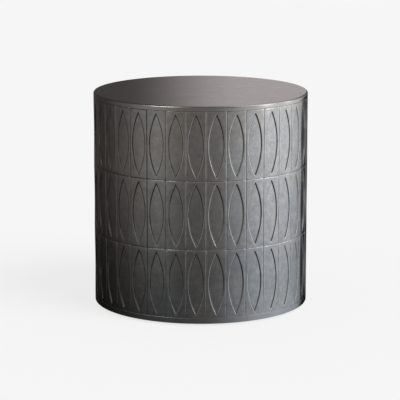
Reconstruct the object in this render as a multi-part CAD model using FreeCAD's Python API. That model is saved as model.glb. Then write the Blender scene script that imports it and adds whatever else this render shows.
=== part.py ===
# Drum side table: a round timber carcass, closed top and bottom, wrapped in embossed metal sheet
# and capped with a spun metal top. It stands on four screw levellers let into the base.
# Frame: origin on the floor under the middle of the drum, +Z up, front at -Y.
import FreeCAD, Part
import math
import os

# Driving dimensions of the drum, in millimetres
drum_diameter = 508.0    # outside of the metal
columns = 34             # ovals round the drum, even, so that two half sheets hold whole ovals
rows = 3                 # ovals from foot to rim
tile_height = 160.0      # one row of the pattern
rim_height = 11.5        # plain metal above the pattern
band_height = 13.5       # plain metal below the pattern
floor_gap = 4.0          # under the drum with the levellers screwed right in

# The metal
sheet_thickness = 1.2    # cap and foot band
rim_radius = 4.5         # outside of the cap's rolled edge
band_radius = 2.5        # outside of the foot band's fold
cladding_thickness = 3.4  # embossed sheet with its bedding behind it
side_land = 9.9          # plain metal between two ovals side by side
end_land = 12.0          # and between the points of two ovals, one above the other
oval_depth = 2.4
oval_wall_run = 1.6      # width of the sloped wall round the oval
groove_width = 2.0       # scored lines between the ovals
groove_depth = 0.8

# The timber carcass
board_thickness = 18.0   # top and base boards
skin_thickness = 6.0     # bent plywood under the metal
glue_line = 0.3          # between curved faces that are glued
stud_count = 8
stud_width = 38.0
stud_depth = 30.0
hoop_width = 70.0        # ring that stiffens the studs half-way up
hoop_thickness = 12.0
lap_depth = 15.0         # how far the hoop is let into each stud
lap_clearance = 0.2

# Countersunk wood screws through the boards into the stud ends
screw_diameter = 5.0
screw_length = 50.0
screw_head_diameter = 9.6
screw_head_height = 2.6
screw_point = 6.0
screw_clearance = 0.1

# Pins that hold the foot band's flange up against the base
pin_count = 12
pin_diameter = 2.0
pin_length = 12.0
pin_head_diameter = 5.0
pin_head_height = 0.8
pin_clearance = 0.1
pin_inset = 4.0          # in from the edge of the base's body
flange_beyond_pins = 4.0  # how much further in the flange goes

# Screw levellers
leveller_count = 4
leveller_to_stud = 17.0  # from the nut's flange to the stud outside it
leveller_travel = 15.0
pad_diameter = 34.0
pad_height = 8.0
pad_edge_height = 4.0
pad_hub_diameter = 19.0
pad_chamfer = 1.0
pad_pocket_clearance = 1.5
socket_depth = 5.0
socket_clearance = 0.08
stem_diameter = 7.9
stem_spare_length = 2.0  # thread left above the nut with the foot right out
stem_end_clearance = 0.3
stem_chamfer = 0.8
collar_across_flats = 13.0
collar_height = 4.0
nut_bore_clearance = 0.05
nut_barrel_wall = 1.3
nut_barrel_recess = 0.5
nut_flange_diameter = 24.0
nut_flange_thickness = 1.6
nut_hole_clearance = 0.1

# Heights worked out from those above
drum_bottom = floor_gap
cladding_bottom = drum_bottom + band_height
cladding_top = cladding_bottom + rows * tile_height
drum_top = cladding_top + rim_height
base_underside = drum_bottom + sheet_thickness
base_top = base_underside + board_thickness
top_board_top = drum_top - sheet_thickness
top_board_underside = top_board_top - board_thickness
hoop_bottom = (base_top + top_board_underside - hoop_thickness) / 2
hoop_top = hoop_bottom + hoop_thickness
pocket_ceiling = pad_height + collar_height

# Radii worked out from those above
drum_radius = drum_diameter / 2
cladding_back_radius = drum_radius - cladding_thickness
skin_outer_radius = cladding_back_radius - glue_line
skin_inner_radius = skin_outer_radius - skin_thickness
core_radius = skin_inner_radius - glue_line
lip_radius = drum_radius - sheet_thickness - glue_line
screw_circle_radius = core_radius - stud_depth / 2
pin_circle_radius = core_radius - pin_inset
flange_radius = pin_circle_radius - flange_beyond_pins
nut_bore_radius = stem_diameter / 2 + nut_bore_clearance
nut_barrel_radius = nut_bore_radius + nut_barrel_wall
leveller_circle_radius = core_radius - stud_depth - leveller_to_stud - nut_flange_diameter / 2

# One tile of the pattern and its oval, point to point at the surface
tile_angle = 360.0 / columns
tile_width = math.pi * drum_diameter / columns
oval_width = tile_width - side_land
oval_height = tile_height - end_land

up = FreeCAD.Vector(0, 0, 1)
origin = FreeCAD.Vector(0, 0, 0)


def at(radius, z):
    """A point of a turned profile."""
    return FreeCAD.Vector(radius, 0, z)


def line(start, end):
    return Part.makeLine(start, end)


def round_corner(centre, radius, start_deg, end_deg):
    """A quarter arc of a turned profile, about its centre."""
    points = []
    for angle in (start_deg, (start_deg + end_deg) / 2, end_deg):
        turn = math.radians(angle)
        points.append(at(centre.x + radius * math.cos(turn), centre.z + radius * math.sin(turn)))
    return Part.Arc(*points).toShape()


def turned(edges, degrees=360.0):
    """The solid swept by a closed profile turning about the drum's axis."""
    face = Part.Face(Part.Wire(edges))
    return face.revolve(origin, up, degrees)


def turned_polygon(points, degrees=360.0):
    return turned(Part.makePolygon(points + points[:1]).Edges, degrees)


def rotated(shape, degrees):
    copy = shape.copy()
    copy.rotate(origin, up, degrees)
    return copy


def ring_of(shape, count, first_angle=0.0):
    """Copies of a shape, evenly spaced round the drum's axis."""
    return [rotated(shape, first_angle + i * 360.0 / count) for i in range(count)]


def cylinder(radius, bottom, top, x=0.0):
    return Part.makeCylinder(radius, top - bottom, FreeCAD.Vector(x, 0, bottom))


def moved_out(shape, radius):
    copy = shape.copy()
    copy.translate(FreeCAD.Vector(radius, 0, 0))
    return copy


def top_sheet():
    """Spun cap: a flat disc with a rolled edge and a short skirt."""
    inner_radius = drum_radius - sheet_thickness
    corner = at(drum_radius - rim_radius, drum_top - rim_radius)
    top_middle = at(0, drum_top)
    under_middle = at(0, top_board_top)
    edges = [
        line(top_middle, at(corner.x, drum_top)),
        round_corner(corner, rim_radius, 90, 0),
        line(at(drum_radius, corner.z), at(drum_radius, cladding_top)),
        line(at(drum_radius, cladding_top), at(inner_radius, cladding_top)),
        line(at(inner_radius, cladding_top), at(inner_radius, corner.z)),
        round_corner(corner, rim_radius - sheet_thickness, 0, 90),
        line(at(corner.x, top_board_top), under_middle),
        line(under_middle, top_middle),
    ]
    return turned(edges)


def base_band():
    """Foot band: a hoop round the base's edge, folded in under it."""
    inner_radius = drum_radius - sheet_thickness
    corner = at(drum_radius - band_radius, drum_bottom + band_radius)
    edges = [
        line(at(drum_radius, cladding_bottom), at(drum_radius, corner.z)),
        round_corner(corner, band_radius, 0, -90),
        line(at(corner.x, drum_bottom), at(flange_radius, drum_bottom)),
        line(at(flange_radius, drum_bottom), at(flange_radius, base_underside)),
        line(at(flange_radius, base_underside), at(corner.x, base_underside)),
        round_corner(corner, band_radius - sheet_thickness, -90, 0),
        line(at(inner_radius, corner.z), at(inner_radius, cladding_bottom)),
        line(at(inner_radius, cladding_bottom), at(drum_radius, cladding_bottom)),
    ]
    return turned(edges).cut(ring_of(pin_hole(), pin_count, 180.0 / pin_count))


def cladding_shell():
    """Half of the plain sheet, with the level scored lines in its profile."""
    half_groove = groove_width / 2
    groove_radius = drum_radius - groove_depth
    points = [at(cladding_back_radius, cladding_bottom), at(groove_radius, cladding_bottom)]
    points.append(at(drum_radius, cladding_bottom + half_groove))
    for row in range(1, rows):
        z = cladding_bottom + row * tile_height
        points.append(at(drum_radius, z - half_groove))
        points.append(at(groove_radius, z))
        points.append(at(drum_radius, z + half_groove))
    points.append(at(drum_radius, cladding_top - half_groove))
    points.append(at(groove_radius, cladding_top))
    points.append(at(cladding_back_radius, cladding_top))
    return turned_polygon(points, 180.0)


def scored_line():
    """Cutter for one upright line, at the +X side of the drum."""
    half_groove = groove_width / 2
    outside = groove_depth
    spread = half_groove * (groove_depth + outside) / groove_depth
    points = [
        FreeCAD.Vector(drum_radius - groove_depth, 0, cladding_bottom),
        FreeCAD.Vector(drum_radius + outside, -spread, cladding_bottom),
        FreeCAD.Vector(drum_radius + outside, spread, cladding_bottom),
    ]
    face = Part.Face(Part.makePolygon(points + points[:1]))
    return face.extrude(up * (cladding_top - cladding_bottom))


def pointed_oval():
    """Cutter for one recess, at the +X side of the drum and half-way up the bottom row.

    Each long side is an arc whose wall slopes in, so it is a cone seen from outside, and the oval is
    what two such cones share. The floor follows the drum.
    """
    half_width = oval_width / 2
    side_radius = (oval_height ** 2 + oval_width ** 2) / (4 * oval_width)
    slope = oval_wall_run / oval_depth
    edge_x = math.sqrt(drum_radius ** 2 - half_width ** 2)
    inside_x = edge_x - oval_depth - groove_depth
    outside_x = drum_radius + oval_depth
    inside_radius = side_radius - slope * (edge_x - inside_x)
    outside_radius = side_radius + slope * (outside_x - edge_x)
    middle_z = cladding_bottom + tile_height / 2
    out = FreeCAD.Vector(1, 0, 0)
    sides = []
    for side in (-1, 1):
        foot = FreeCAD.Vector(inside_x, side * (side_radius - half_width), middle_z)
        sides.append(Part.makeCone(inside_radius, outside_radius, outside_x - inside_x, foot, out))
    oval = sides[0].common(sides[1])
    floor = cylinder(drum_radius - oval_depth, cladding_bottom, cladding_top)
    return oval.cut(floor)


def cladding_half():
    """One half sheet, spanning the +Y side, with its ovals and scored lines."""
    half_columns = columns // 2
    cutters = []
    for column in range(half_columns + 1):
        cutters.append(rotated(scored_line(), column * tile_angle))
    oval = pointed_oval()
    for column in range(half_columns):
        turned_oval = rotated(oval, (column + 0.5) * tile_angle)
        for row in range(rows):
            raised = turned_oval.copy()
            raised.translate(up * (row * tile_height))
            cutters.append(raised)
    return cladding_shell().cut(cutters)


def skin_half():
    """Half of the bent plywood drum, spanning the +Y side."""
    points = [
        at(skin_inner_radius, cladding_bottom),
        at(skin_outer_radius, cladding_bottom),
        at(skin_outer_radius, cladding_top),
        at(skin_inner_radius, cladding_top),
    ]
    return turned_polygon(points, 180.0)


def wood_screw(clearance=0.0):
    """Countersunk screw along +Z with its head's face at z = 0, or the hole for it."""
    shank = screw_diameter / 2 + clearance
    head = screw_head_diameter / 2 + clearance
    tip = screw_length + clearance
    points = [
        at(0, 0),
        at(head, 0),
        at(shank, screw_head_height),
        at(shank, tip - screw_point),
        at(0, tip),
    ]
    return turned_polygon(points)


def base_screw(clearance=0.0):
    screw = wood_screw(clearance)
    screw.translate(FreeCAD.Vector(screw_circle_radius, 0, base_underside))
    return screw


def top_screw(clearance=0.0):
    screw = wood_screw(clearance)
    screw.rotate(origin, FreeCAD.Vector(1, 0, 0), 180)
    screw.translate(FreeCAD.Vector(screw_circle_radius, 0, top_board_top))
    return screw


def band_pin():
    """Round-headed pin, up through the flange into the base."""
    head = cylinder(pin_head_diameter / 2, drum_bottom - pin_head_height, drum_bottom)
    shank = cylinder(pin_diameter / 2, drum_bottom, drum_bottom + pin_length)
    return moved_out(head.fuse(shank).removeSplitter(), pin_circle_radius)


def pin_hole():
    top = drum_bottom + pin_length + pin_clearance
    return cylinder(pin_diameter / 2 + pin_clearance, drum_bottom, top, pin_circle_radius)


def top_board():
    """Disc under the cap, its lip inside the cap's skirt and its body inside the skin."""
    corner = at(lip_radius - rim_radius, top_board_top - rim_radius)
    edges = [
        line(at(0, top_board_top), at(corner.x, top_board_top)),
        round_corner(corner, rim_radius, 90, 0),
        line(at(lip_radius, corner.z), at(lip_radius, cladding_top)),
        line(at(lip_radius, cladding_top), at(core_radius, cladding_top)),
        line(at(core_radius, cladding_top), at(core_radius, top_board_underside)),
        line(at(core_radius, top_board_underside), at(0, top_board_underside)),
        line(at(0, top_board_underside), at(0, top_board_top)),
    ]
    return turned(edges).cut(ring_of(top_screw(screw_clearance), stud_count))


def base_board():
    """Disc that closes the foot, with pockets and holes for the levellers."""
    corner = at(lip_radius - band_radius, base_underside + band_radius)
    edges = [
        line(at(0, base_top), at(core_radius, base_top)),
        line(at(core_radius, base_top), at(core_radius, cladding_bottom)),
        line(at(core_radius, cladding_bottom), at(lip_radius, cladding_bottom)),
        line(at(lip_radius, cladding_bottom), at(lip_radius, corner.z)),
        round_corner(corner, band_radius, 0, -90),
        line(at(corner.x, base_underside), at(0, base_underside)),
        line(at(0, base_underside), at(0, base_top)),
    ]
    pocket_radius = pad_diameter / 2 + pad_pocket_clearance
    nut_hole_radius = nut_barrel_radius + nut_hole_clearance
    pocket = cylinder(pocket_radius, base_underside, pocket_ceiling, leveller_circle_radius)
    nut_hole = cylinder(nut_hole_radius, pocket_ceiling, base_top, leveller_circle_radius)
    cuts = ring_of(base_screw(screw_clearance), stud_count)
    cuts += ring_of(pin_hole(), pin_count, 180.0 / pin_count)
    cuts += ring_of(pocket.fuse(nut_hole), leveller_count, leveller_angle(0))
    return turned(edges).cut(cuts)


def stud():
    """Upright at the +X side, rounded to the skin and notched for the hoop."""
    post = Part.makeBox(
        stud_depth,
        stud_width,
        top_board_underside - base_top,
        FreeCAD.Vector(core_radius - stud_depth, -stud_width / 2, base_top),
    )
    notch = Part.makeBox(
        stud_depth - lap_depth,
        stud_width,
        hoop_thickness + lap_clearance,
        FreeCAD.Vector(core_radius - stud_depth, -stud_width / 2, hoop_bottom),
    )
    rounded = post.common(cylinder(core_radius, base_top, top_board_underside))
    holes = [base_screw(screw_clearance), top_screw(screw_clearance)]
    return rounded.cut([notch] + holes)


def mid_hoop():
    """Plywood ring half-way up, half-lapped round every stud."""
    ring = cylinder(core_radius, hoop_bottom, hoop_top)
    ring = ring.cut(cylinder(core_radius - hoop_width, hoop_bottom, hoop_top))
    notch = Part.makeBox(
        2 * lap_depth,
        stud_width + 2 * lap_clearance,
        hoop_thickness,
        FreeCAD.Vector(core_radius - lap_depth - lap_clearance, -stud_width / 2 - lap_clearance, hoop_bottom),
    )
    return ring.cut(ring_of(notch, stud_count))


def leveller_angle(index):
    """Levellers stand between the front, sides and back."""
    return (index + 0.5) * 360.0 / leveller_count


def foot_pad():
    """Moulded glide with a socket in its hub for the stem."""
    outer = pad_diameter / 2
    hub = pad_hub_diameter / 2
    socket = stem_diameter / 2 + socket_clearance
    floor = pad_height - socket_depth
    points = [
        at(0, 0),
        at(outer - pad_chamfer, 0),
        at(outer, pad_chamfer),
        at(outer, pad_edge_height),
        at(hub, pad_height),
        at(socket, pad_height),
        at(socket, floor),
        at(0, floor),
    ]
    return moved_out(turned_polygon(points), leveller_circle_radius)


def leveller_stem():
    """Threaded stem with the hexagon collar that a spanner turns."""
    radius = stem_diameter / 2
    bottom = pad_height - socket_depth + stem_end_clearance
    top = base_top + nut_flange_thickness + leveller_travel + stem_spare_length
    shank = turned_polygon([
        at(0, bottom),
        at(radius, bottom),
        at(radius, top - stem_chamfer),
        at(radius - stem_chamfer, top),
        at(0, top),
    ])
    corner_radius = collar_across_flats / 2 / math.cos(math.pi / 6)
    corners = []
    for i in range(6):
        turn = i * math.pi / 3
        x = corner_radius * math.cos(turn)
        y = corner_radius * math.sin(turn)
        corners.append(FreeCAD.Vector(x, y, pad_height))
    hexagon = Part.Face(Part.makePolygon(corners + corners[:1]))
    collar = hexagon.extrude(up * collar_height)
    return moved_out(shank.fuse(collar).removeSplitter(), leveller_circle_radius)


def t_nut():
    """Flanged nut, driven into the base from inside the drum."""
    barrel_bottom = pocket_ceiling + nut_barrel_recess
    flange_top = base_top + nut_flange_thickness
    nut_flange_radius = nut_flange_diameter / 2
    points = [
        at(nut_bore_radius, barrel_bottom),
        at(nut_barrel_radius, barrel_bottom),
        at(nut_barrel_radius, base_top),
        at(nut_flange_radius, base_top),
        at(nut_flange_radius, flange_top),
        at(nut_bore_radius, flange_top),
    ]
    return moved_out(turned_polygon(points), leveller_circle_radius)


def export(node, shape):
    """Write one node after making sure that its solids are sound."""
    assert shape.isValid() and shape.Solids, node
    shape.exportStep("parts/%s.step" % node)
    print("%s: %d solids, %.0f mm3" % (node, len(shape.Solids), shape.Volume))


os.makedirs("parts", exist_ok=True)

export("top_sheet", top_sheet())
export("base_band", base_band())
export("band_pins", Part.makeCompound(ring_of(band_pin(), pin_count, 180.0 / pin_count)))

half_sheet = cladding_half()
export("cladding_back", half_sheet)
export("cladding_front", rotated(half_sheet, 180))

# The plywood halves meet at the front and back, a quarter turn from the seams of the metal
export("skin_left", rotated(skin_half(), 90))
export("skin_right", rotated(skin_half(), -90))

export("top_board", top_board())
export("top_screws", Part.makeCompound(ring_of(top_screw(), stud_count)))
export("base_board", base_board())
export("base_screws", Part.makeCompound(ring_of(base_screw(), stud_count)))
export("mid_hoop", mid_hoop())
for i, shape in enumerate(ring_of(stud(), stud_count)):
    export("stud_%d" % (i + 1), shape)

export("t_nuts", Part.makeCompound(ring_of(t_nut(), leveller_count, leveller_angle(0))))
for i in range(leveller_count):
    export("foot_pad_%d" % (i + 1), rotated(foot_pad(), leveller_angle(i)))
    export("leveller_stem_%d" % (i + 1), rotated(leveller_stem(), leveller_angle(i)))
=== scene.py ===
# Drum side table, dressed: gunmetal sheet over a timber drum, on four screw levellers.
import math
import random

import bmesh
import bpy
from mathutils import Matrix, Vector


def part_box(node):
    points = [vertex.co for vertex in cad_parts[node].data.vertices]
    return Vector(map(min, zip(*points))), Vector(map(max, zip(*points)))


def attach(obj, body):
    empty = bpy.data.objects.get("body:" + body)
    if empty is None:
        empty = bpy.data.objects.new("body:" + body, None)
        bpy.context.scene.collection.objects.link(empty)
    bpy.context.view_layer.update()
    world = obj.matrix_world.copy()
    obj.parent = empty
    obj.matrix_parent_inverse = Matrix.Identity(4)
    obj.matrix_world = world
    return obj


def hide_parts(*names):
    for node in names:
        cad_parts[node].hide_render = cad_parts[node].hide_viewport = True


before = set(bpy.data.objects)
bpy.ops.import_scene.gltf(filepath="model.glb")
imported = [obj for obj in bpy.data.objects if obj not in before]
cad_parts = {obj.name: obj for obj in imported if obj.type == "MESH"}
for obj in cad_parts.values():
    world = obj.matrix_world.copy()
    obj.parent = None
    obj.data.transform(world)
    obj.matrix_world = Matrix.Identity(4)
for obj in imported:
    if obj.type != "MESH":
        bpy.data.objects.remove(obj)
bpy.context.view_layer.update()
scene = bpy.context.scene
mm = 0.001


# Foot pads: four round glides that the table stands on, moulded in black nylon with a ringed
# sole. Each is pressed over the end of its stem, which turns in the socket of its hub.
leveller_count = 4
pad_radius = 17.0 * mm
pad_edge = 1.2 * mm            # rounding of the flange, below and above
flange_shoulder = 2.9 * mm     # height where the upper rounding starts
cone_facing = 62               # how steeply the cone from flange to hub looks up, in degrees
hub_edge = (9.0 * mm, 7.2 * mm)    # middle of the rounding at the hub's edge, out and up
hub_rounding = 0.8 * mm
hub_lip = 0.5 * mm             # rounding at the mouth of the socket
hub_lip_height = 7.5 * mm      # and the height of its middle
socket_radius = 4.03 * mm
socket_floor = 3.0 * mm
sole_hollow = ((0.0, 0.4), (2.2, 0.4), (2.7, 0.1), (3.1, 0.0))    # radius and height, in mm
sole_rings = (6.0 * mm, 9.0 * mm, 12.0 * mm)
sole_ring_half = (0.75 * mm, 0.4 * mm)    # half the width of a ring, at the sole and at its bottom
sole_ring_depth = 0.35 * mm
axis_reach = 1e-7              # a point nearer to the axis than this is on it
pad_segments = 72
nylon_deep = (0.022, 0.022, 0.023)
nylon_scuffed = (0.05, 0.05, 0.052)


def arc(centre, radius, start, end, steps):
    """Points of a turned profile along an arc, from one angle to another in degrees."""
    points = []
    for i in range(steps + 1):
        turn = math.radians(start + (end - start) * i / steps)
        points.append((centre[0] + radius * math.cos(turn), centre[1] + radius * math.sin(turn)))
    return points


def even_turns(count):
    return [2 * math.pi * i / count for i in range(count)]


def turned_point(turn, radius, z, centre=(0.0, 0.0)):
    return (centre[0] + radius * math.cos(turn), centre[1] + radius * math.sin(turn), z)


def turned_ring(turns, radius, z, centre=(0.0, 0.0)):
    """Points at one radius and height, or at the axis one point only."""
    if radius < axis_reach:
        return [(centre[0], centre[1], z)]
    return [turned_point(turn, radius, z, centre) for turn in turns]


def join_rings(mesh, rings, endless=False):
    """Faces from each ring of corners to the next; an endless piece joins its last ring to its first."""
    pairs = list(zip(rings, rings[1:]))
    if endless:
        pairs.append((rings[-1], rings[0]))
    for low, high in pairs:
        count = max(len(low), len(high))
        for i in range(count):
            j = (i + 1) % count
            corners = [low[i % len(low)], low[j % len(low)], high[j % len(high)], high[i % len(high)]]
            mesh.faces.new(list(dict.fromkeys(corners)))


def skin_rings(mesh, rings, endless=False):
    """A skin over rings of points."""
    join_rings(mesh, [[mesh.verts.new(point) for point in ring] for ring in rings], endless)


def finished_piece(name, mesh, crease=35.0):
    """A smooth-shaded piece from built mesh data, with its faces turned outwards and its corners crisp."""
    bmesh.ops.recalc_face_normals(mesh, faces=mesh.faces)
    for face in mesh.faces:
        face.smooth = True
    data = bpy.data.meshes.new(name)
    mesh.to_mesh(data)
    mesh.free()
    data.set_sharp_from_angle(angle=math.radians(crease))
    piece = bpy.data.objects.new(name, data)
    scene.collection.objects.link(piece)
    return piece


def new_material(name):
    material = bpy.data.materials.new(name)
    material.use_nodes = True
    parts = material.node_tree.nodes
    return material, parts, material.node_tree.links, parts["Principled BSDF"]


def piece_coords(parts, links, stretch=(1.0, 1.0, 1.0)):
    """Places in the piece itself, drawn out or pressed together along its axes."""
    coords = parts.new("ShaderNodeTexCoord").outputs["Object"]
    if stretch == (1.0, 1.0, 1.0):
        return coords
    mapping = parts.new("ShaderNodeMapping")
    mapping.inputs["Scale"].default_value = stretch
    links.new(coords, mapping.inputs["Vector"])
    return mapping.outputs["Vector"]


def add_noise(parts, links, coords, scale, detail=2.0, roughness=0.5):
    texture = parts.new("ShaderNodeTexNoise")
    texture.inputs["Scale"].default_value = scale
    texture.inputs["Detail"].default_value = detail
    texture.inputs["Roughness"].default_value = roughness
    links.new(coords, texture.inputs["Vector"])
    return texture.outputs["Fac"]


def add_range(parts, links, value, low, high, new_low, new_high):
    change = parts.new("ShaderNodeMapRange")
    for socket, number in zip(("From Min", "From Max", "To Min", "To Max"), (low, high, new_low, new_high)):
        change.inputs[socket].default_value = number
    links.new(value, change.inputs["Value"])
    return change.outputs["Result"]


def add_mix(parts, links, share, first, second):
    """Blends two colours, each a colour or another node's output, by a share."""
    mix = parts.new("ShaderNodeMix")
    mix.data_type = "RGBA"
    for socket, colour in ((mix.inputs["A"], first), (mix.inputs["B"], second)):
        if isinstance(colour, tuple):
            socket.default_value = (*colour, 1.0)
        else:
            links.new(colour, socket)
    links.new(share, mix.inputs["Factor"])
    return mix.outputs["Result"]


def add_bump(parts, links, height, distance, strength, under=None):
    bump = parts.new("ShaderNodeBump")
    bump.inputs["Distance"].default_value = distance
    bump.inputs["Strength"].default_value = strength
    links.new(height, bump.inputs["Height"])
    if under:
        links.new(under, bump.inputs["Normal"])
    return bump.outputs["Normal"]


def fit(piece, material, body, slot, *stands_for):
    """Gives a piece its finish and the body that it moves with, and hides the nodes that it stands for."""
    piece.data.materials.append(material)
    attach(piece, body)
    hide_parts(*stands_for)


def moulded_nylon():
    """Black nylon: a fine spark-eroded grain, scuffed paler in patches."""
    material, parts, links, shader = new_material("black_nylon")
    coords = piece_coords(parts, links)
    grain = add_noise(parts, links, coords, 1500.0, 2.0, 0.6)
    scuffs = add_noise(parts, links, coords, 160.0, 5.0, 0.65)
    scuff_share = add_range(parts, links, scuffs, 0.5, 0.75, 0.0, 1.0)
    links.new(add_mix(parts, links, scuff_share, nylon_deep, nylon_scuffed), shader.inputs["Base Color"])
    links.new(add_range(parts, links, scuffs, 0.3, 0.7, 0.42, 0.6), shader.inputs["Roughness"])
    links.new(add_bump(parts, links, grain, 0.0001, 0.4), shader.inputs["Normal"])
    return material


def pad_profile():
    """From the middle of the sole out, up over the edge to the hub and down its socket."""
    points = [(radius * mm, height * mm) for radius, height in sole_hollow]
    mouth, bottom = sole_ring_half
    for ring in sole_rings:
        points += [(ring - mouth, 0.0), (ring - bottom, sole_ring_depth)]
        points += [(ring + bottom, sole_ring_depth), (ring + mouth, 0.0)]
    points += arc((pad_radius - pad_edge, pad_edge), pad_edge, -90, 0, 6)
    points += arc((pad_radius - pad_edge, flange_shoulder), pad_edge, 0, cone_facing, 5)
    points += arc(hub_edge, hub_rounding, cone_facing, 90, 4)
    points += arc((socket_radius + hub_lip, hub_lip_height), hub_lip, 90, 180, 4)
    points += [(socket_radius, socket_floor), (0.0, socket_floor)]
    return points


black_nylon = moulded_nylon()
leveller_centres = []
for number in range(1, leveller_count + 1):
    node = "foot_pad_%d" % number
    pad_low, pad_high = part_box(node)
    centre = ((pad_low.x + pad_high.x) / 2, (pad_low.y + pad_high.y) / 2)
    leveller_centres.append(centre)
    turns = even_turns(pad_segments)
    mesh = bmesh.new()
    skin_rings(mesh, [turned_ring(turns, radius, pad_low.z + z, centre) for radius, z in pad_profile()])
    fit(finished_piece("glide_%d" % number, mesh), black_nylon, node, "nylon", node)


# Leveller stems: zinc-plated M8 studs with a hexagon collar forged on for the spanner. The
# plain end turns in the foot pad and the rolled thread climbs in the nut in the base.
thread_pitch = 1.25 * mm
thread_depth = 0.66 * mm
thread_radius = 3.93 * mm
thread_steps = 8           # rings to one turn of the thread
thread_flank = 2.6         # how steep the thread's sides are, beside its pitch
thread_root = 0.15         # how far its bottom is filled to a flat
thread_start = 0.5 * mm    # from the collar to the thread
point_tip = 0.06           # radius of a screw's point, as a share of its shank
stem_segments = 48
collar_across_flats = 13.0 * mm
collar_low = 8.0 * mm
collar_high = 12.0 * mm
collar_face = 6.1 * mm     # radius where the collar's chamfer starts
collar_edge = 0.15 * mm    # added to the chamfer's depth all round
collar_slope = 28          # of the chamfer, in degrees
stem_low = 3.3 * mm
stem_end = 0.4 * mm        # chamfer at the plain end
stem_lead = 0.9 * mm       # chamfer at the thread's upper end
zinc_bright = (0.68, 0.69, 0.70)
zinc_dull = (0.52, 0.53, 0.55)
zinc_stain = (0.40, 0.37, 0.31)


def zinc_plating():
    """Passivated zinc: small crystals of slightly different greys and a few yellowed stains."""
    material, parts, links, shader = new_material("zinc_plating")
    coords = piece_coords(parts, links)
    crystals = parts.new("ShaderNodeTexVoronoi")
    crystals.inputs["Scale"].default_value = 900.0
    links.new(coords, crystals.inputs["Vector"])
    stains = add_noise(parts, links, coords, 120.0, 4.0, 0.6)
    shade = add_range(parts, links, crystals.outputs["Distance"], 0.0, 0.7, 0.0, 1.0)
    colour = add_mix(parts, links, shade, zinc_bright, zinc_dull)
    stain_share = add_range(parts, links, stains, 0.58, 0.78, 0.0, 0.6)
    links.new(add_mix(parts, links, stain_share, colour, zinc_stain), shader.inputs["Base Color"])
    links.new(add_range(parts, links, stains, 0.3, 0.7, 0.26, 0.44), shader.inputs["Roughness"])
    links.new(add_bump(parts, links, stains, 0.0001, 0.2), shader.inputs["Normal"])
    shader.inputs["Metallic"].default_value = 1.0
    return material


def thread_rings(turns, low, high, crest, depth, pitch, centre, lead=0.0, point=0.0):
    """Rings of a right-hand screw thread, drawn in at its far end by a lead or down to a point."""
    rings = []
    count = max(2, round((high - low) / pitch * thread_steps))
    for i in range(count + 1):
        z = low + (high - low) * i / count
        ring = []
        for turn in turns:
            phase = ((z - low) / pitch - turn / (2 * math.pi)) % 1.0
            height = min(1.0, max(0.0, thread_flank * abs(phase - 0.5) - thread_root))
            runout = min(1.0, (z - low) / pitch)
            radius = crest - depth * (1.0 - height) * runout
            if lead:
                radius = min(radius, crest - lead + max(0.0, high - z))
            if point:
                radius *= min(1.0, point_tip + (1 - point_tip) * (high - z) / point)
            ring.append(turned_point(turn, radius, z, centre))
        rings.append(ring)
    return rings


def collar_rings(turns, centre):
    """A hexagon with both faces chamfered by turning."""
    rings = [turned_ring(turns, collar_face, collar_low, centre)]
    for end, towards in ((collar_low, 1), (collar_high, -1)):
        ring = []
        for turn in turns:
            off_corner = (turn + math.pi / 6) % (math.pi / 3) - math.pi / 6
            radius = collar_across_flats / 2 / math.cos(math.pi / 6 - abs(off_corner))
            drop = collar_edge + (radius - collar_face) * math.tan(math.radians(collar_slope))
            ring.append(turned_point(turn, radius, end + towards * drop, centre))
        rings.append(ring)
    return rings + [turned_ring(turns, collar_face, collar_high, centre)]


zinc = zinc_plating()
for number, centre in enumerate(leveller_centres, start=1):
    node = "leveller_stem_%d" % number
    stem_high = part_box(node)[1].z
    turns = even_turns(stem_segments)
    rings = [turned_ring(turns, radius, stem_low + z, centre)
             for radius, z in ((0.0, 0.0), (thread_radius - stem_end, 0.0), (thread_radius, stem_end))]
    rings.append(turned_ring(turns, thread_radius, collar_low, centre))
    rings += collar_rings(turns, centre)
    rings.append(turned_ring(turns, thread_radius, collar_high, centre))
    rings += thread_rings(turns, collar_high + thread_start, stem_high, thread_radius, thread_depth,
                          thread_pitch, centre, lead=stem_lead)
    rings.append(turned_ring(turns, 0.0, stem_high, centre))
    mesh = bmesh.new()
    skin_rings(mesh, rings)
    fit(finished_piece("threaded_stem_%d" % number, mesh), zinc, node, "zinc_plate", node)


# Nuts in the base: four flanged nuts of pressed steel, zinc plated, driven into the base from
# inside the drum.
def finish_node(node, material):
    """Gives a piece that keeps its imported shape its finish."""
    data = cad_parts[node].data
    data.materials.clear()
    data.materials.append(material)


finish_node("t_nuts", zinc)


# Base board: a disc of fibreboard that closes the foot, bored for the levellers and screws and
# rounded where the foot band folds under it.
fibre_pale = (0.50, 0.37, 0.235)
fibre_dark = (0.36, 0.25, 0.15)
fibre_fleck = (0.17, 0.105, 0.06)


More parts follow.
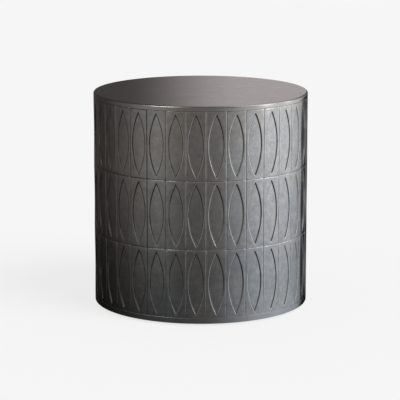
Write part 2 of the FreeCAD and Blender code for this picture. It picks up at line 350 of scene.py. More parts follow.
def bare_fibreboard():
    """Pressed fibre: soft clouds, fine felted hairs and a sprinkling of dark bark."""
    material, parts, links, shader = new_material("bare_fibreboard")
    coords = piece_coords(parts, links)
    clouds = add_noise(parts, links, coords, 22.0, 3.0, 0.5)
    hairs = add_noise(parts, links, piece_coords(parts, links, (1.0, 0.35, 1.0)), 900.0, 4.0, 0.7)
    flecks = add_noise(parts, links, coords, 380.0, 2.0, 0.5)
    cloud_share = add_range(parts, links, clouds, 0.3, 0.7, 0.0, 1.0)
    colour = add_mix(parts, links, cloud_share, fibre_pale, fibre_dark)
    hair_share = add_range(parts, links, hairs, 0.35, 0.65, 0.0, 0.45)
    colour = add_mix(parts, links, hair_share, colour, fibre_dark)
    fleck_share = add_range(parts, links, flecks, 0.66, 0.74, 0.0, 0.7)
    colour = add_mix(parts, links, fleck_share, colour, fibre_fleck)
    links.new(colour, shader.inputs["Base Color"])
    links.new(add_range(parts, links, hairs, 0.3, 0.7, 0.72, 0.9), shader.inputs["Roughness"])
    links.new(add_bump(parts, links, hairs, 0.0002, 0.35), shader.inputs["Normal"])
    shader.inputs["Specular IOR Level"].default_value = 0.3
    return material


fibreboard = bare_fibreboard()
finish_node("base_board", fibreboard)


# Studs: eight planed softwood uprights between the two boards, rounded to the drum outside and
# notched for the hoop.
stud_count = 8
softwood_early = (0.72, 0.54, 0.33)
softwood_late = (0.50, 0.31, 0.15)


def planed_softwood():
    """Straight-grained pine: pale early wood between narrow darker lines, with fine pores along it."""
    material, parts, links, shader = new_material("planed_softwood")
    rings = add_noise(parts, links, piece_coords(parts, links, (1.0, 1.0, 0.03)), 95.0, 3.0, 0.45)
    pores = add_noise(parts, links, piece_coords(parts, links, (1.0, 1.0, 0.02)), 900.0, 2.0, 0.5)
    line_share = add_range(parts, links, rings, 0.5, 0.62, 0.0, 0.85)
    colour = add_mix(parts, links, line_share, softwood_early, softwood_late)
    pore_share = add_range(parts, links, pores, 0.55, 0.75, 0.0, 0.4)
    colour = add_mix(parts, links, pore_share, colour, softwood_late)
    links.new(colour, shader.inputs["Base Color"])
    links.new(add_range(parts, links, rings, 0.4, 0.65, 0.68, 0.5), shader.inputs["Roughness"])
    links.new(add_bump(parts, links, pores, 0.0002, 0.3), shader.inputs["Normal"])
    return material


softwood = planed_softwood()
for number in range(1, stud_count + 1):
    finish_node("stud_%d" % number, softwood)


# Hoop and bent skins: birch plywood. The hoop is sawn from flat sheet and half-lapped round the
# studs; the two skins are bent round the carcass and glued to it, meeting at front and back.
ply_pale = (0.66, 0.50, 0.32)
ply_dark = (0.50, 0.35, 0.20)
hoop_plies = 7
skin_plies = 5
skin_thickness = 6.0 * mm


def plywood(name, bent, plies, low, high):
    """Wood grain on the faces, with the glued plies showing at the edges, through the sheet's thickness."""
    material, parts, links, shader = new_material(name)
    split = parts.new("ShaderNodeSeparateXYZ")
    links.new(piece_coords(parts, links), split.inputs["Vector"])
    through = split.outputs["Z"]
    if bent:
        flat = parts.new("ShaderNodeCombineXYZ")
        links.new(split.outputs["X"], flat.inputs["X"])
        links.new(split.outputs["Y"], flat.inputs["Y"])
        length = parts.new("ShaderNodeVectorMath")
        length.operation = "LENGTH"
        links.new(flat.outputs["Vector"], length.inputs[0])
        through = length.outputs["Value"]
    layer = parts.new("ShaderNodeMath")
    layer.operation = "PINGPONG"
    layer.inputs[1].default_value = 1.0
    links.new(add_range(parts, links, through, low, high, 0.0, plies), layer.inputs[0])
    grain_way = (1.0, 1.0, 0.04) if bent else (0.05, 1.0, 1.0)
    grain = add_noise(parts, links, piece_coords(parts, links, grain_way), 160.0, 4.0, 0.6)
    grain_share = add_range(parts, links, grain, 0.35, 0.68, 0.0, 1.0)
    colour = add_mix(parts, links, grain_share, ply_pale, ply_dark)
    cross_share = add_range(parts, links, layer.outputs["Value"], 0.42, 0.58, 0.0, 0.35)
    colour = add_mix(parts, links, cross_share, colour, ply_dark)
    links.new(colour, shader.inputs["Base Color"])
    links.new(add_range(parts, links, grain, 0.3, 0.7, 0.55, 0.75), shader.inputs["Roughness"])
    links.new(add_bump(parts, links, grain, 0.0002, 0.3), shader.inputs["Normal"])
    return material


hoop_low, hoop_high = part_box("mid_hoop")
finish_node("mid_hoop", plywood("hoop_plywood", False, hoop_plies, hoop_low.z, hoop_high.z))
skin_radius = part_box("skin_right")[1].x
bent_plywood = plywood("bent_plywood", True, skin_plies, skin_radius - skin_thickness, skin_radius)
for node in ("skin_left", "skin_right"):
    finish_node(node, bent_plywood)


# Top board: a second disc of fibreboard, rebated over the skins and screwed down to the studs.
# The metal cap is bedded on it.
finish_node("top_board", fibreboard)


# Wood screws: sixteen countersunk steel screws, zinc plated, driven through the boards into the
# ends of the studs.
screw_circle = 229.0 * mm
screw_head = 4.8 * mm
screw_head_height = 2.6 * mm
screw_head_edge = (0.25 * mm, 0.2 * mm)    # chamfer of the head's face, across and down
screw_plain = 0.35         # share of the length that has no thread
screw_thread_start = 1.0 * mm
screw_shank = 2.5 * mm
screw_pitch = 2.2 * mm
screw_thread_depth = 0.8 * mm
screw_point = 6.0 * mm
recess_arm = 2.5 * mm
recess_half_width = 0.7 * mm
recess_depth = 1.5 * mm
recess_floor = 0.45        # width of the recess at its floor, beside its width at the face
recess_lip = (0.92, 0.25 * mm)    # the same just under the face, and how far under
straight_on = 1e-6         # a turn smaller than this is along an arm of the recess


def recess_turns():
    """Directions round a screw head that take in every corner of its cross recess."""
    arm_corner = math.atan2(recess_half_width, recess_arm)
    quarter = (-arm_corner, -arm_corner / 2, 0.0, arm_corner / 2, arm_corner,
               (arm_corner + math.pi / 4) / 2, math.pi / 4, (math.pi / 2 - arm_corner + math.pi / 4) / 2)
    return [i * math.pi / 2 + turn for i in range(4) for turn in quarter]


def recess_reach(turn):
    """How far the cross recess goes in one direction from the screw's middle."""
    along = abs((turn + math.pi / 4) % (math.pi / 2) - math.pi / 4)
    reach = recess_arm / math.cos(along)
    return reach if along < straight_on else min(reach, recess_half_width / math.sin(along))


def wood_screw_rings(length):
    """One screw with its head's face at zero and its point up, as rings of points."""
    turns = recess_turns()
    rings = [[(0.0, 0.0, recess_depth)]]
    for share, depth in ((recess_floor, recess_depth), recess_lip, (1.0, 0.0)):
        rings.append([turned_point(turn, share * recess_reach(turn), depth) for turn in turns])
    rings.append(turned_ring(turns, screw_head - screw_head_edge[0], 0.0))
    rings.append(turned_ring(turns, screw_head, screw_head_edge[1]))
    rings.append(turned_ring(turns, screw_shank, screw_head_height))
    plain_end = length * screw_plain
    rings.append(turned_ring(turns, screw_shank, plain_end))
    rings += thread_rings(turns, plain_end + screw_thread_start, length, screw_shank, screw_thread_depth,
                          screw_pitch, (0.0, 0.0), point=screw_point)
    rings.append([(0.0, 0.0, length)])
    return rings


for name, node, points_up in (
    ("base_wood_screws", "base_screws", True),
    ("top_wood_screws", "top_screws", False),
):
    screw_low, screw_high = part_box(node)
    mesh = bmesh.new()
    for turn in even_turns(stud_count):
        place = Vector((screw_circle * math.cos(turn), screw_circle * math.sin(turn), 0.0))
        placed = []
        for ring in wood_screw_rings(screw_high.z - screw_low.z):
            if points_up:
                placed.append([place + Vector((x, y, screw_low.z + z)) for x, y, z in ring])
            else:
                placed.append([place + Vector((x, -y, screw_high.z - z)) for x, y, z in ring])
        skin_rings(mesh, placed)
    fit(finished_piece(name, mesh), zinc, "drum", "zinc_plate", node)


# Embossed cladding: two half sheets of thin metal, pressed with pointed ovals in a scored grid,
# darkened to gunmetal, rubbed back on the high edges and lacquered. They are bedded on the
# plywood drum and meet in scored lines at the sides.
# The patina and rubbed edges of the sheets carry painted shade and painted highlights as well.
columns = 34
rows = 3
sheet_low, sheet_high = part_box("cladding_front")
drum_radius = sheet_high.x
tile_height = (sheet_high.z - sheet_low.z) / rows
tile_width = 2 * math.pi * drum_radius / columns
sheet_back = 3.3 * mm    # how far in the sheet's plain back lies

land_beside = 9.9 * mm   # from one oval to the next, round the drum
land_ends = 12.0 * mm    # and up the drum
oval_width = tile_width - land_beside
oval_height = tile_height - land_ends
oval_side_radius = (oval_height ** 2 + oval_width ** 2) / (4 * oval_width)
side_steps = 24          # along each long side of an oval
end_steps = 4            # from the middle of a tile's end to its corner

# Across the scored line and the oval's wall, in mm: distance in from the edge and depth below the
# sheet, then how much dark patina stays there and how much the polishing cloth takes off
groove_section = (
    (0.0, 0.85, 0.85, 0.0), (0.25, 0.76, 0.85, 0.0), (0.52, 0.47, 0.85, 0.0), (0.8, 0.22, 0.0, 0.0),
    (1.15, 0.09, 0.0, 0.7), (1.6, 0.02, 0.0, 0.7), (2.1, 0.0, 0.0, 0.0),
)
wall_section = (
    (-1.5, 0.0, 0.0, 0.0), (-1.0, 0.03, 0.0, 0.3), (-0.5, 0.1, 0.0, 0.3), (-0.12, 0.2, 0.0, 1.0),
    (0.18, 0.34, 0.0, 1.0), (0.42, 0.53, 1.0, 0.0), (0.58, 0.73, 1.0, 0.0), (0.75, 0.91, 1.0, 0.0),
    (1.75, 1.95, 1.0, 0.0), (1.95, 2.14, 1.0, 0.0), (2.2, 2.29, 1.0, 0.0), (2.55, 2.37, 0.0, 0.0),
    (3.0, 2.4, 0.0, 0.0), (4.7, 2.4, 0.0, 0.0), (8.5, 2.4, 0.0, 0.0), (13.0, 2.4, 0.0, 0.0),
)
shoulder_at_tip = 1.25   # how much further the rounded shoulder runs past an oval's tips than beside it
land_shares = (0.33, 0.67)    # where rings cross the plain metal between line and oval
lip_depth = 0.02 * mm    # the least patina and painted shade of a line or wall covers it from this depth
floor_depth = 2.37 * mm  # to this one
painted_layers = ("wash_and_shade", "rub_and_highlight", "tone")
tone_seed = 11
join_within = 0.01 * mm
same_turn = 0.01         # points of one upright edge lie within this turn
sheet_crease = 60.0

# Patina, rubbed edges, painted shade and painted highlights round the drum; a fade is its middle and width,
# in degrees off the seams at the sides
side_light_fade = (35, 30)
side_shade_share = 0.5          # share of the patina and painted shade left in lines and walls near the seams
side_shade_fade = (20, 12)
side_painted_shade = 1.0          # least patina and painted shade on the ovals' walls beside the seams
left_shade_fade = (50, 24)
left_painted_shade = 0.9          # and further off, on the left half, as painted shade; also in its scored lines
far_line_shade_fade = (55, 12)
far_line_shade = 0.4          # share of the patina and painted shade in the scored lines far round on the left
right_line_shade = 0.55       # and in those of the right half
lit_half_fade = (-0.35, 0.3)    # from the left half to the right, by the sine of a tile's facing
left_highlight_share = 0.3          # how bright the ovals' rubbed edges and painted highlights are on the left half, beside the right
lower_right_light = 0.9              # how much patina and painted shade is taken off an oval's wall at the lower right, painting it lighter

gunmetal_pale = (0.395, 0.395, 0.395)
gunmetal_deep = (0.325, 0.325, 0.325)
# Wash: patina with painted shade in it. Rubbed: worn bright metal with painted highlights in it.
gunmetal_wash_and_shade = (0.071, 0.07, 0.069)
gunmetal_rubbed_and_highlight = (0.72, 0.71, 0.70)
gunmetal_worn = (0.49, 0.485, 0.48)
gunmetal_stain = (0.23, 0.225, 0.22)
gunmetal_warm = (0.395, 0.37, 0.345)
gunmetal_cool = (0.335, 0.355, 0.365)


def oval_points(inset):
    """Points round a pointed oval, drawn in by an inset, from its foot up the right and down the left."""
    radius = oval_side_radius - inset
    middle = oval_side_radius - oval_width / 2
    reach = math.acos(middle / radius)
    right = []
    for i in range(side_steps + 1):
        turn = reach * (2 * i / side_steps - 1)
        right.append((radius * math.cos(turn) - middle, radius * math.sin(turn)))
    right[0] = (0.0, right[0][1])
    right[-1] = (0.0, right[-1][1])
    if inset < 0:
        flatten = (oval_height / 2 - shoulder_at_tip * inset) / right[-1][1]
        right = [(x, z * flatten) for x, z in right]
    left = [(-x, z) for x, z in reversed(right[1:-1])]
    return right + left


def tile_points(inset):
    """Points round a tile, drawn in by an inset, in step with those of the oval."""
    half_width = tile_width / 2 - inset
    half_height = tile_height / 2 - inset
    right = []
    for i in range(side_steps + 1):
        if i <= end_steps:
            right.append((half_width * i / end_steps, -half_height))
        elif i >= side_steps - end_steps:
            right.append((half_width * (side_steps - i) / end_steps, half_height))
        else:
            share = (i - end_steps) / (side_steps - 2 * end_steps)
            right.append((half_width, half_height * (2 * share - 1)))
    left = [(-x, z) for x, z in reversed(right[1:-1])]
    return right + left


def tile_loops():
    """Rings of (points, depth, wash and shade, rub and highlight, scored) from the scored line to the oval's
    floor.
    """
    loops = []
    for inset, depth, wash_and_shade, rub_and_highlight in groove_section:
        loops.append((tile_points(inset * mm), depth * mm, wash_and_shade, rub_and_highlight, True))
    outer = loops[-1][0]
    inner = oval_points(wall_section[0][0] * mm)
    for share in land_shares:
        points = [(a[0] + (b[0] - a[0]) * share, a[1] + (b[1] - a[1]) * share) for a, b in zip(outer, inner)]
        loops.append((points, 0.0, 0.0, 0.0, False))
    for inset, depth, wash_and_shade, rub_and_highlight in wall_section:
        loops.append((oval_points(inset * mm), depth * mm, wash_and_shade, rub_and_highlight, False))
    return loops


def soft_step(value, edge, softness):
    """From nothing to one across a soft edge."""
    share = min(1.0, max(0.0, (value - edge) / softness + 0.5))
    return share * share * (3 - 2 * share)


def column_wear_and_light(column):
    """The least patina, the share of patina and of rubbing in one column's lines and ovals, with painted
    shade and highlights.
    """
    facing = column * 360 / columns
    off_seam = 90 - abs((facing + 90) % 180 - 90)
    away = soft_step(off_seam, *side_light_fade)
    wash_and_shade_kept = side_shade_share + (1 - side_shade_share) * away
    right_half = soft_step(math.sin(math.radians(facing)), *lit_half_fade)
    left_half = 1 - right_half
    left_lines = left_half * (far_line_shade + (1 - far_line_shade) * soft_step(off_seam, *far_line_shade_fade))
    lines = (left_painted_shade * left_lines, wash_and_shade_kept * (left_lines + right_line_shade * right_half), away * right_half)
    side_shade = side_painted_shade * (1 - soft_step(off_seam, *side_shade_fade))
    left_shade = left_painted_shade * (1 - soft_step(off_seam, *left_shade_fade)) * left_half
    ovals = (max(side_shade, left_shade), wash_and_shade_kept, away * (left_highlight_share + (1 - left_highlight_share) * right_half))
    return lines, ovals


def pressed_tile(mesh, loops, column, row, tone):
    """One tile of the grid, with its wear, painted shade and highlights and its own tone painted on the
    corners.
    """
    middle_angle = -math.pi / 2 + column * 2 * math.pi / columns
    middle_z = sheet_low.z + (row + 0.5) * tile_height
    wash_and_shade_layer, rub_and_highlight_layer, tone_layer = (mesh.verts.layers.float[layer] for layer in painted_layers)
    lines, ovals = column_wear_and_light(column)
    grid = []
    for points, depth, wash_and_shade, rub_and_highlight, scored in loops:
        least_wash_and_shade, wash_and_shade_kept, rub_and_highlight_kept = lines if scored else ovals
        if not lip_depth < depth < floor_depth:
            least_wash_and_shade = 0.0
        verts = []
        for x, z in points:
            angle = middle_angle + x / drum_radius
            vert = mesh.verts.new(turned_point(angle, drum_radius - depth, middle_z + z))
            # The lower right of each oval's wall is painted lighter, with less patina and painted shade
            lower_right = min(1.0, max(0.0, x / oval_width - z / oval_height))
            lightened = 0.0 if scored else lower_right_light * lower_right
            vert[wash_and_shade_layer] = max(least_wash_and_shade, wash_and_shade * wash_and_shade_kept * (1 - lightened))
            vert[rub_and_highlight_layer] = rub_and_highlight * rub_and_highlight_kept
            vert[tone_layer] = tone
            verts.append(vert)
        grid.append(verts)
    join_rings(mesh, grid)
    floor = grid[-1]
    mesh.faces.new((floor[0], floor[1], floor[-1]))
    for i in range(1, side_steps - 1):
        mesh.faces.new((floor[i], floor[i + 1], floor[-i - 1], floor[-i]))
    mesh.faces.new((floor[side_steps - 1], floor[side_steps], floor[side_steps + 1]))


def pressed_sheet(name, first_column, tile_count):
    """One half sheet, wrapped round the drum, with a plain back so that it is closed."""
    loops = tile_loops()
    mesh = bmesh.new()
    for layer in painted_layers:
        mesh.verts.layers.float.new(layer)
    chance = random.Random(tone_seed + first_column)
    for column in range(first_column, first_column + tile_count):
        for row in range(rows):
            pressed_tile(mesh, loops, column, row, chance.uniform(0, 1))
    bmesh.ops.remove_doubles(mesh, verts=mesh.verts, dist=join_within)
    middle_turn = (first_column + (tile_count - 1) / 2) * 2 * math.pi / columns - math.pi / 2
    close_back(mesh, drum_radius - sheet_back, middle_turn)
    return finished_piece(name, mesh, sheet_crease)


def close_back(mesh, radius, middle_turn):
    """Turns the sheet's edge in to a plain back, so that the piece is a closed body."""
    def around(vert):
        """How far round the drum a point lies from the middle of the sheet."""
        turn = math.atan2(vert.co.y, vert.co.x) - middle_turn
        return (turn + math.pi) % (2 * math.pi) - math.pi

    def upright(end):
        """The edge's points between one end of its foot and the head above, from low to high."""
        points = {v for v in sides if abs(around(v) - around(end)) < same_turn}
        return sorted(points, key=lambda v: v.co.z)

    rim = [e for e in mesh.edges if e.is_boundary]
    made = bmesh.ops.extrude_edge_only(mesh, edges=rim)["geom"]
    for vert in (v for v in made if isinstance(v, bmesh.types.BMVert)):
        spread = math.hypot(vert.co.x, vert.co.y)
        vert.co.x *= radius / spread
        vert.co.y *= radius / spread
    inner = [e for e in made if isinstance(e, bmesh.types.BMEdge) and e.is_boundary]
    low = min(min(v.co.z for v in e.verts) for e in inner)
    high = max(max(v.co.z for v in e.verts) for e in inner)
    feet = sorted({v for e in inner for v in e.verts if v.co.z < low + mm}, key=around)
    heads = sorted({v for e in inner for v in e.verts if v.co.z > high - mm}, key=around)
    sides = [v for e in inner for v in e.verts if low + mm < v.co.z < high - mm]
    mesh.faces.new([feet[0], *upright(feet[0]), heads[0], heads[1], feet[1]])
    for i in range(1, len(feet) - 2):
        mesh.faces.new((feet[i], heads[i], heads[i + 1], feet[i + 1]))
    mesh.faces.new([feet[-1], feet[-2], heads[-2], heads[-1], *reversed(upright(feet[-1]))])


def add_maths(parts, links, operation, first, second):
    maths = parts.new("ShaderNodeMath")
    maths.operation = operation
    links.new(first, maths.inputs[0])
    links.new(second, maths.inputs[1])
    return maths.outputs["Value"]


def worn_patina(parts, links, coords, colour, dull):
    """Blotches and specks, patina and painted shade kept in the lines, edges rubbed bright with painted
    highlights: new colour and dullness.
    """
    blotches = add_noise(parts, links, coords, 75.0, 4.0, 0.62)
    worn = add_range(parts, links, blotches, 0.47, 0.25, 0.0, 0.7)
    colour = add_mix(parts, links, worn, colour, gunmetal_worn)
    stained = add_range(parts, links, blotches, 0.5, 0.75, 0.0, 0.65)
    colour = add_mix(parts, links, stained, colour, gunmetal_stain)
    specks = add_noise(parts, links, coords, 430.0, 2.0, 0.6)
    speck_share = add_range(parts, links, specks, 0.54, 0.74, 0.0, 0.85)
    colour = add_mix(parts, links, speck_share, colour, gunmetal_stain)
    painted = {}
    for layer in painted_layers:
        attribute = parts.new("ShaderNodeAttribute")
        attribute.attribute_name = layer
        painted[layer] = attribute.outputs["Fac"]
    tone_share = add_range(parts, links, painted["tone"], 0.0, 1.0, 0.0, 0.15)
    colour = add_mix(parts, links, tone_share, colour, gunmetal_deep)
    patchy = add_noise(parts, links, coords, 27.0, 3.0, 0.55)
    kept = add_range(parts, links, patchy, 0.36, 0.58, 0.7, 1.0)
    wash_and_shade_share = add_maths(parts, links, "MULTIPLY", painted["wash_and_shade"], kept)
    colour = add_mix(parts, links, wash_and_shade_share, colour, gunmetal_wash_and_shade)
    worn_off = add_range(parts, links, patchy, 0.6, 0.4, 0.45, 0.95)
    rub_and_highlight_share = add_maths(parts, links, "MULTIPLY", painted["rub_and_highlight"], worn_off)
    colour = add_mix(parts, links, rub_and_highlight_share, colour, gunmetal_rubbed_and_highlight)
    duller = add_range(parts, links, wash_and_shade_share, 0.0, 1.0, 0.0, 0.3)
    return colour, add_maths(parts, links, "ADD", dull, duller)


def gunmetal(name, embossed):
    """Dark patina over satin metal, cloudy and finely speckled; an embossed sheet is worn, with painted
    shade and highlights, as well.
    """
    material, parts, links, shader = new_material(name)
    coords = piece_coords(parts, links)
    clouds = add_noise(parts, links, coords, 20.0, 4.0, 0.55)
    mottle = add_noise(parts, links, coords, 170.0, 3.0, 0.6)
    tints = add_noise(parts, links, coords, 9.0, 3.0, 0.5)
    cloud_share = add_range(parts, links, clouds, 0.3, 0.7, 0.0, 1.0)
    colour = add_mix(parts, links, cloud_share, gunmetal_deep, gunmetal_pale)
    warm_share = add_range(parts, links, tints, 0.5, 0.65, 0.0, 0.6)
    colour = add_mix(parts, links, warm_share, colour, gunmetal_warm)
    cool_share = add_range(parts, links, tints, 0.5, 0.35, 0.0, 0.6)
    colour = add_mix(parts, links, cool_share, colour, gunmetal_cool)
    mottle_share = add_range(parts, links, mottle, 0.35, 0.7, 0.0, 0.4)
    colour = add_mix(parts, links, mottle_share, colour, gunmetal_deep)
    dull = add_range(parts, links, mottle, 0.25, 0.75, 0.18, 0.25)
    if embossed:
        colour, dull = worn_patina(parts, links, coords, colour, dull)
    links.new(colour, shader.inputs["Base Color"])
    links.new(dull, shader.inputs["Roughness"])
    dents = add_noise(parts, links, coords, 42.0, 2.0, 0.5)
    uneven = add_bump(parts, links, dents, 0.0005, 0.45 if embossed else 0.06)
    links.new(add_bump(parts, links, mottle, 0.0002, 0.12, uneven), shader.inputs["Normal"])
    shader.inputs["Metallic"].default_value = 1.0
    return material


embossed_gunmetal = gunmetal("embossed_gunmetal", True)
half = columns // 2
for name, node, first_column in (
    ("front_sheet", "cladding_front", -(half // 2)),
    ("back_sheet", "cladding_back", half - half // 2),
):
    fit(pressed_sheet(name, first_column, half), embossed_gunmetal, "drum", "gunmetal", node)


# Foot band: a hoop of the same metal round the base, with its upper edge dressed back a little.
# It is folded in under the base and pinned there.
band_low, band_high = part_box("base_band")
sheet_thickness = 1.2 * mm
band_edge = 0.25 * mm          # rounding of the upper edge
band_bevel = (0.22 * mm, 1.3 * mm)     # how far that edge is dressed back, and over what height
bevel_end = 0.3 * mm           # height over which the dressed edge runs out into the band
band_fold = 2.5 * mm
band_flange = 236.0 * mm
drum_turns = even_turns(240)


def hoop_piece(name, profile):
    """A closed profile of (radius, height) turned right round the drum."""
    mesh = bmesh.new()
    on_axis = profile[0][0] < axis_reach
    skin_rings(mesh, [turned_ring(drum_turns, radius, z) for radius, z in profile], not on_axis)
    return finished_piece(name, mesh)


fold_centre = (drum_radius - band_fold, band_low.z + band_fold)
band_profile = arc((drum_radius - band_bevel[0] - band_edge, band_high.z - band_edge), band_edge, 90, 0, 4)
bevel_low = band_high.z - band_bevel[1]
band_profile += [(drum_radius, z) for z in (bevel_low, bevel_low - bevel_end, fold_centre[1] + mm)]
band_profile += arc(fold_centre, band_fold, 0, -90, 7)
band_profile += [(band_flange, band_low.z), (band_flange, band_low.z + sheet_thickness)]
band_profile += arc(fold_centre, band_fold - sheet_thickness, -90, 0, 4)
band_profile += [(drum_radius - sheet_thickness, band_high.z)]
plain_gunmetal = gunmetal("plain_gunmetal", False)
fit(hoop_piece("foot_band", band_profile), plain_gunmetal, "drum", "gunmetal", "base_band")


# Band pins: twelve round-headed steel pins, zinc plated, driven up through the foot band's
# flange into the base.
pin_count = 12
pin_circle = 240.0 * mm
pin_head = 2.5 * mm
pin_shank = 1.0 * mm
pin_point = 2.5 * mm
pin_dome = ((0.0, 0.0), (0.9, 0.04), (1.7, 0.2), (2.3, 0.5))    # radius and height over the head, in mm
pin_low, pin_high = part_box("band_pins")
pin_turns = even_turns(24)
pin_profile = [(radius * mm, pin_low.z + height * mm) for radius, height in pin_dome]
pin_profile += [(pin_head, band_low.z), (pin_shank, band_low.z)]
pin_profile += [(pin_shank, pin_high.z - pin_point), (0.0, pin_high.z)]
mesh = bmesh.new()
for i in range(pin_count):
    turn = 2 * math.pi * (i + 0.5) / pin_count
    place = (pin_circle * math.cos(turn), pin_circle * math.sin(turn))
    skin_rings(mesh, [turned_ring(pin_turns, radius, z, place) for radius, z in pin_profile])
fit(finished_piece("round_head_pins", mesh), zinc, "drum", "zinc_plate", "band_pins")


# Spun cap: one disc of the same metal, turned over at the edge to a short skirt and dressed
# smooth, then darkened and lacquered with the sides. It is bedded on the top board.
cap_low, cap_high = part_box("top_sheet")
cap_rim = 4.5 * mm
cap_rings = (0.25, 0.5, 0.75, 0.92, 0.985, 0.997)    # across the flat, closer towards the rim
skirt_edge = 0.4 * mm      # rounding of the skirt's lower edge
skirt_end = 1.5 * mm       # from here up the skirt is straight
rim_centre = (drum_radius - cap_rim, cap_high.z - cap_rim)
cap_profile = [(0.0, cap_high.z)]
cap_profile += [(rim_centre[0] * share, cap_high.z) for share in cap_rings]
cap_profile += arc(rim_centre, cap_rim, 90, 0, 10)
cap_profile += [(drum_radius, cap_low.z + skirt_end), (drum_radius, cap_low.z + 2 * skirt_edge)]
cap_profile += arc((drum_radius - skirt_edge, cap_low.z + skirt_edge), skirt_edge, 0, -90, 4)
cap_profile += [(drum_radius - sheet_thickness, cap_low.z)]
cap_profile += arc(rim_centre, cap_rim - sheet_thickness, 0, 90, 4)
cap_profile += [(0.0, cap_high.z - sheet_thickness)]
fit(hoop_piece("spun_cap", cap_profile), plain_gunmetal, "drum", "gunmetal", "top_sheet")


# Studio: a pale floor that runs out to an even pale surround, one soft lamp, and a shell of dark
# and light cards round the table that only its metal sees.
pale = 0.9215
floor_size = 7.0
floor_colour = (0.9, 0.9, 0.9, 1.0)
floor_roughness = 0.9
floor_glow = 0.82        # how much of the floor's look is the even surround
sky_light = 0.55
lamp_strength = 1.9
lamp_softness = 35       # degrees across
lamp_direction = (0.55, -0.35, 0.78)


def seen_directly(parts, links):
    """One where a ray from the camera, or off metal or through glass, meets the surround."""
    path = parts.new("ShaderNodeLightPath")
    total = path.outputs["Is Camera Ray"]
    for kind in ("Is Glossy Ray", "Is Transmission Ray"):
        total = add_maths(parts, links, "MAXIMUM", total, path.outputs[kind])
    return total


floor_mesh = bpy.data.meshes.new("floor")
corners = [(x * floor_size, y * floor_size, 0.0) for x, y in ((-1, -1), (1, -1), (1, 1), (-1, 1))]
floor_mesh.from_pydata(corners, [], [(0, 1, 2, 3)])
floor = bpy.data.objects.new("floor", floor_mesh)
scene.collection.objects.link(floor)
floor_material, parts, links, shader = new_material("pale_floor")
shader.inputs["Base Color"].default_value = floor_colour
shader.inputs["Roughness"].default_value = floor_roughness
shader.inputs["Specular IOR Level"].default_value = 0.0
glow = parts.new("ShaderNodeEmission")
glow.inputs["Color"].default_value = (pale, pale, pale, 1.0)
blend = parts.new("ShaderNodeMixShader")
glow_share = add_range(parts, links, seen_directly(parts, links), 0.0, 1.0, 0.0, floor_glow)
links.new(glow_share, blend.inputs["Fac"])
links.new(shader.outputs["BSDF"], blend.inputs[1])
links.new(glow.outputs["Emission"], blend.inputs[2])
from_below = parts.new("ShaderNodeBsdfTransparent")
one_sided = parts.new("ShaderNodeMixShader")
links.new(parts.new("ShaderNodeNewGeometry").outputs["Backfacing"], one_sided.inputs["Fac"])
links.new(blend.outputs["Shader"], one_sided.inputs[1])
links.new(from_below.outputs["BSDF"], one_sided.inputs[2])
links.new(one_sided.outputs["Shader"], parts["Material Output"].inputs["Surface"])
floor.data.materials.append(floor_material)

world = bpy.data.worlds.new("studio")
scene.world = world
world.use_nodes = True
parts, links = world.node_tree.nodes, world.node_tree.links
sky = parts["Background"]
sky.inputs["Color"].default_value = (1.0, 1.0, 1.0, 1.0)
sky_strength = add_range(parts, links, seen_directly(parts, links), 0.0, 1.0, sky_light, pale)
links.new(sky_strength, sky.inputs["Strength"])
scene.view_settings.view_transform = "Standard"

lamp_data = bpy.data.lights.new("soft_lamp", "SUN")
lamp_data.energy = lamp_strength
lamp_data.angle = math.radians(lamp_softness)
lamp = bpy.data.objects.new("soft_lamp", lamp_data)
lamp.rotation_euler = Vector(lamp_direction).to_track_quat("Z", "Y").to_euler()
lamp.visible_glossy = False
scene.collection.objects.link(lamp)

# Cards, in degrees, by bearing (0 in front, right positive) and by height above the drum's middle:
# from, softness, to, softness, lowest, highest, softness of the ends, light
card_middle = 0.25
room_light = (0.078, 0.066, 0.058)
cards = (
    (-93, 70, 60, 60, -90, 75, 20, (0.275, 0.255, 0.237)),   # dim wall, left and front
    (-62, 36, -27, 26, -90, 20, 20, (0.46, 0.443, 0.41)),    # glow on it from the soft box
    (-64, 12, -40, 12, 40, 78, 12, (4.2, 4.2, 4.1)),         # narrow soft box, front left and high
    (48, 80, 138, 60, -90, 14, 12, (1.40, 1.41, 1.43)),      # window, right
    (50, 50, 126, 30, 16, 26, 8, (0.7, 0.7, 0.7)),           # its middle panes
    (58, 22, 116, 16, 26, 80, 10, (1.9, 1.9, 1.9)),          # its upper panes
    (70, 8, 80, 8, 3, 24, 6, (4.6, 4.6, 4.6)),               # strip light before the window
    (101, 8, 110, 8, 3, 24, 6, (3.3, 3.3, 3.3)),             # another, weaker and further round
    (140, 7, 168, 8, -90, 4, 6, (0.004, 0.004, 0.004)),      # black flags, behind and low
    (175, 12, 194, 14, -90, 4, 8, (0.5, 0.48, 0.46)),        # pale floor, behind
    (186, 8, 250, 40, 2, 60, 8, (0.074, 0.067, 0.063)),      # dark corner, behind on the left
    (114, 16, 172, 12, 26, 62, 10, (0.7, 0.67, 0.66)),       # pale wall above the flags
    (170, 8, 183.3, 9, 4, 60, 8, (0.625, 0.57, 0.575)),      # pale wall behind
)

# The table's own shade round its foot: the light left close to it, on the left and on the right,
# and how that grows further out
foot_shade_left = 0.19
foot_shade_right = 0.6
foot_fade_left = 1.2
foot_fade_right = 1.9
foot_tint = Vector((0.93, 1.0, 1.08))
foot_shade_reach = 1.9
foot_shade_top = 0.3
right_bearing = (-15, 70)    # where left goes over to right, and how softly
back_bearing = (170, 20)     # from here round the back it is as on the right
floor_top = 0.1              # lower than this the shell lies on the floor

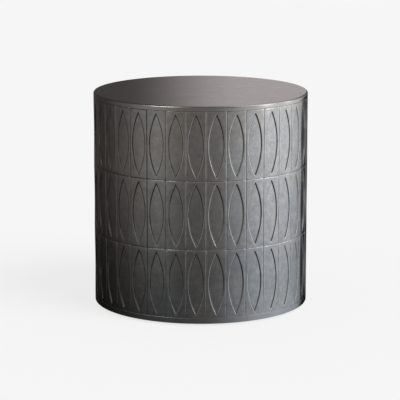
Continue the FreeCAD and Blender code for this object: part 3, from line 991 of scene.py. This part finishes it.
# The shell, as (radius, height): rings on the floor, then up the room's walls and over
floor_rings = (0.235, 0.256, 0.262, 0.27, 0.28, 0.295, 0.315, 0.34, 0.38, 0.43, 0.5, 0.6, 0.75, 0.95,
               1.2, 1.5, 1.9, 2.3)
floor_gap = 0.002
shell_profile = [(radius, floor_gap) for radius in floor_rings]
shell_profile += [(2.65, 0.006), (2.88, 0.06), (2.98, 0.2), (3.0, 0.5), (3.0, 0.75), (3.0, 1.0), (3.0, 1.3),
                  (3.0, 1.7), (3.0, 2.1), (2.95, 2.5), (2.75, 2.9), (2.4, 3.25), (1.9, 3.5), (1.2, 3.7),
                  (0.5, 3.8), (0.02, 3.82)]
shell_turns = 480
halvings = 24                # how often the search for a mirrored line halves its step


def line_from_drum(x, y):
    """The bearing of the line on which the drum's side mirrors a place to the front, and its length."""
    low, high = -math.pi / 2, math.pi / 2
    for _ in range(halvings):
        facing = (low + high) / 2
        off_x = x - drum_radius * math.sin(facing)
        off_y = y + drum_radius * math.cos(facing)
        if math.sin(2 * facing) * off_y + math.cos(2 * facing) * off_x > 0:
            low = facing
        else:
            high = facing
    return math.degrees(2 * facing), math.hypot(off_x, off_y)


def card_light(x, y, z):
    """The light of the cards at one place of the shell."""
    bearing, reach = line_from_drum(x, y)
    if z > floor_top:
        bearing = math.degrees(math.atan2(x, -y))
    height = math.degrees(math.atan2(z - card_middle, math.hypot(x, y)))
    light = Vector(room_light)
    for start, start_softness, end, end_softness, low, high, tip_softness, card in cards:
        share = max(soft_step(turn, start, start_softness) * (1 - soft_step(turn, end, end_softness))
                    for turn in (bearing, bearing + 360))
        share *= soft_step(height, low, tip_softness) * (1 - soft_step(height, high, tip_softness))
        light = light.lerp(Vector(card), share)
    if z < foot_shade_top:
        side = max(soft_step(bearing, *right_bearing), soft_step(abs(bearing), *back_bearing))
        near = foot_shade_left + (foot_shade_right - foot_shade_left) * side
        fade = foot_fade_left + (foot_fade_right - foot_fade_left) * side
        out = min(1.0, reach / foot_shade_reach) ** fade
        light *= near + (1 - near) * out
        light *= foot_tint.lerp(Vector((1.0, 1.0, 1.0)), out)
    return light


mesh = bmesh.new()
light_layer = mesh.verts.layers.float_color.new("light")
rings = []
for radius, z in shell_profile:
    ring = []
    for i in range(shell_turns):
        turn = 2 * math.pi * i / shell_turns
        vert = mesh.verts.new((radius * math.sin(turn), -radius * math.cos(turn), z))
        vert[light_layer] = (*card_light(*vert.co), 1.0)
        ring.append(vert)
    rings.append(ring)
join_rings(mesh, rings)
shell = finished_piece("cards", mesh)
shell.visible_camera = False
shell.visible_diffuse = False
shell.visible_shadow = False
shell.visible_transmission = False
card_material, parts, links, shader = new_material("cards")
parts.remove(shader)
painted = parts.new("ShaderNodeAttribute")
painted.attribute_name = "light"
shine = parts.new("ShaderNodeEmission")
links.new(painted.outputs["Color"], shine.inputs["Color"])
links.new(shine.outputs["Emission"], parts["Material Output"].inputs["Surface"])
shell.data.materials.append(card_material)


# Camera: a long lens, well back from the table and a little above it, looking down at it and
# nearly square to one column of ovals.
camera_azimuth = math.radians(2.32)
camera_distance = 4.7907
camera_height = 1.2181
camera_pitch = math.radians(11.4987)
camera_yaw = math.radians(0.017)
camera_lens = 183.59
sensor_width = 36.0
camera_data = bpy.data.cameras.new("camera")
camera_data.sensor_width = sensor_width
camera_data.lens = camera_lens
camera = bpy.data.objects.new("camera", camera_data)
camera.location = (camera_distance * math.sin(camera_azimuth), -camera_distance * math.cos(camera_azimuth),
                   camera_height)
camera.rotation_euler = (math.pi / 2 - camera_pitch, 0.0, camera_azimuth + camera_yaw)
scene.collection.objects.link(camera)
scene.camera = camera
